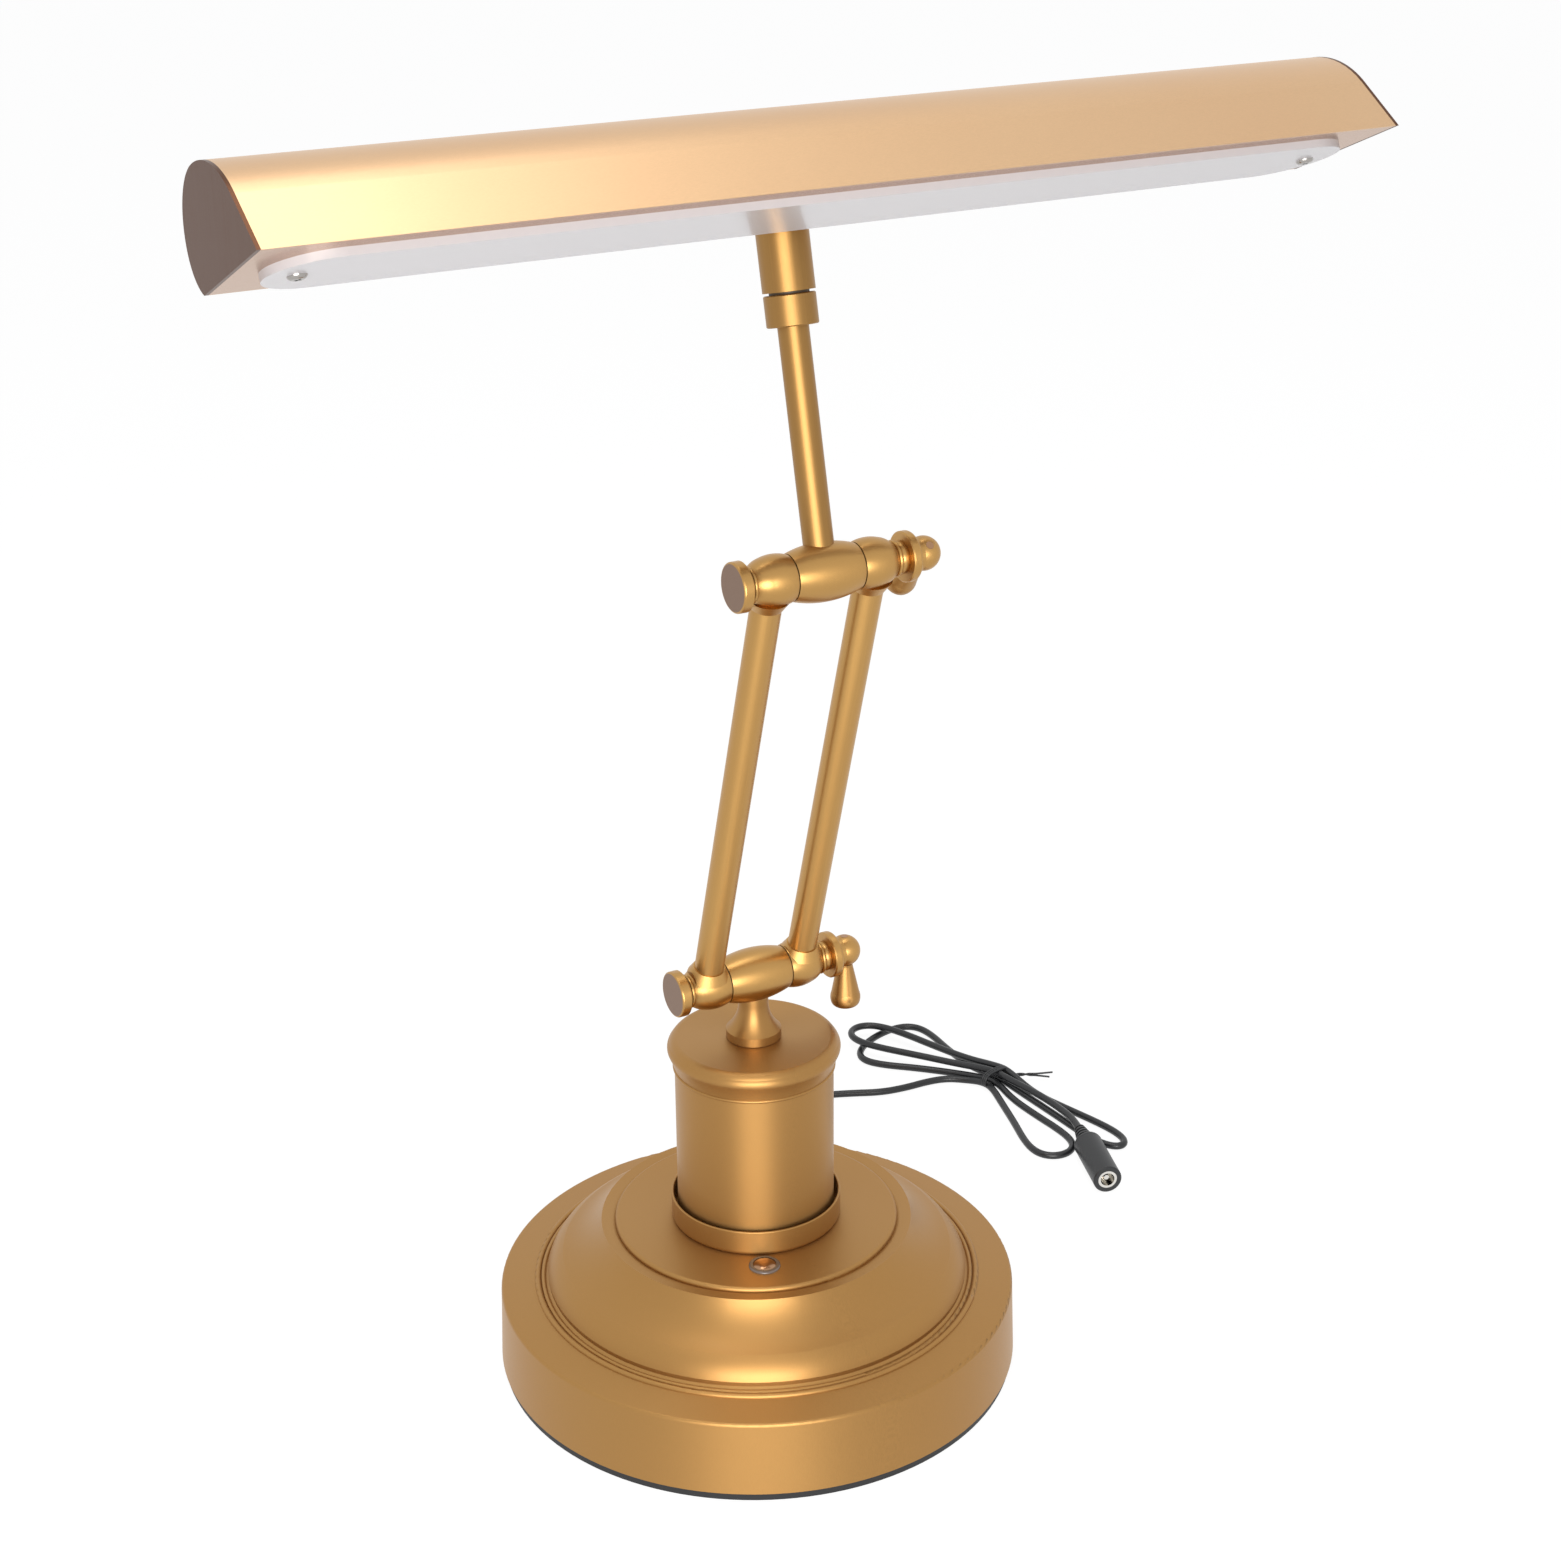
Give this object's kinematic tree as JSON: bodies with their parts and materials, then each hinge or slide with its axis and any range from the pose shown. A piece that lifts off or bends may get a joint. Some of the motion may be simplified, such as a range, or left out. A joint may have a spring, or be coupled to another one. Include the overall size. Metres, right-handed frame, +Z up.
{
  "type": "piano lamp",
  "caption": "Piano lamp with parallel arms between clamp knuckles, a long swivelling trough shade, a touch dimmer and a weighted round foot.",
  "frame": {"origin": "centre of the foot's flat underside", "axes": "+Z up, +X along both clamp bolts towards their levers, -Y the side that the light falls on"},
  "size_m": [0.3994, 0.285, 0.4647],
  "materials": {
    "satin_brass": "satin lacquered, antique brass tone",
    "black_pad": "matt, slightly ribbed edge",
    "bare_steel": "plain zinc plated",
    "iron_ballast": "as cast",
    "screw_steel": "polished pan heads",
    "circuit_board": "solder mask",
    "component_black": "moulded",
    "nylon": "plain",
    "contact_spring": "plain",
    "clear_ring": "translucent",
    "black_plastic": "fine satin",
    "cord_black": "semi-gloss PVC",
    "nickel": "bright nickel",
    "white_acrylic": "opal, softly glossy",
    "carrier_aluminium": "mill finish",
    "led_phosphor": "phosphor"
  },
  "bodies": {
    "base": {"base_cover": "satin_brass", "base_pad": "black_pad", "base_floor_plate": "bare_steel", "base_ballast": "iron_ballast", "floor_plate_screws": "bare_steel", "tie_rod": "bare_steel", "tie_rod_foot_nut": "bare_steel", "tie_rod_washer": "bare_steel", "tie_rod_nuts": "bare_steel", "dimmer_board": "circuit_board", "dimmer_posts": "nylon", "dimmer_components": "component_black", "sensor_contact": "contact_spring", "sensor_ring": "clear_ring", "sensor_dome": "satin_brass", "column_cup": "satin_brass", "column_tube": "satin_brass", "column_cap": "satin_brass", "thrust_washer": "nylon", "cord_strain_relief": "black_plastic", "cord_lead": "cord_black", "cord_hank": "cord_black", "cord_tie": "black_plastic", "cord_tail": "cord_black", "jack_body": "black_plastic", "jack_sleeve": "nickel", "jack_pin": "nickel", "jack_relief": "black_plastic"},
    "neck": {"neck_cone": "satin_brass", "neck_grub_screw": "bare_steel", "lower_barrel": "satin_brass"},
    "arms": {"arm_tube_left": "satin_brass", "arm_tube_right": "satin_brass", "lower_knuckles": "satin_brass", "upper_knuckles": "satin_brass", "friction_washers": "nylon", "clamp_bolts": "satin_brass"},
    "lower_lever": {"lower_lever_hub": "satin_brass", "lower_lever_handle": "satin_brass", "lower_lever_pin": "bare_steel"},
    "upper_lever": {"upper_lever_hub": "satin_brass", "upper_lever_handle": "satin_brass", "upper_lever_pin": "bare_steel"},
    "stem": {"upper_barrel": "satin_brass", "stem_tube": "satin_brass", "swivel_collar": "satin_brass", "swivel_stud": "bare_steel", "swivel_washer": "nylon"},
    "shade": {"swivel_sleeve": "satin_brass", "sleeve_grub_screw": "bare_steel", "shade_shell": "satin_brass", "shade_end_left": "satin_brass", "shade_end_right": "satin_brass", "shade_bottom_plate": "satin_brass", "shade_mount_screws": "bare_steel", "diffuser": "white_acrylic", "diffuser_screws": "screw_steel", "led_carrier": "carrier_aluminium", "led_board": "circuit_board", "led_chips": "led_phosphor"}
  },
  "joints": [
    {"name": "neck_swivel", "type": "hinge", "parent": "base", "child": "neck", "pos_m": [0, 0, 0.1307], "axis": [0, 0, 1], "range_deg": [-170, 170]},
    {"name": "lower_tilt", "type": "hinge", "parent": "neck", "child": "arms", "pos_m": [0, 0, 0.1548], "axis": [1, 0, 0], "range_deg": [-60, 60]},
    {"name": "lower_lever_turn", "type": "hinge", "parent": "arms", "child": "lower_lever", "pos_m": [0, 0, 0.1548], "axis": [1, 0, 0], "range_deg": [-60, 60]},
    {"name": "upper_lever_turn", "type": "hinge", "parent": "arms", "child": "upper_lever", "pos_m": [0, -0.0493, 0.3189], "axis": [1, 0, 0], "range_deg": [-60, 60]},
    {"name": "upper_tilt", "type": "hinge", "parent": "arms", "child": "stem", "pos_m": [0, -0.0493, 0.3189], "axis": [-1, 0, 0], "range_deg": [-110, 80]},
    {"name": "shade_swivel", "type": "hinge", "parent": "stem", "child": "shade", "pos_m": [0, -0.0295, 0.40464], "axis": [0, 0.225, 0.9744], "range_deg": [-90, 90]}
  ]
}
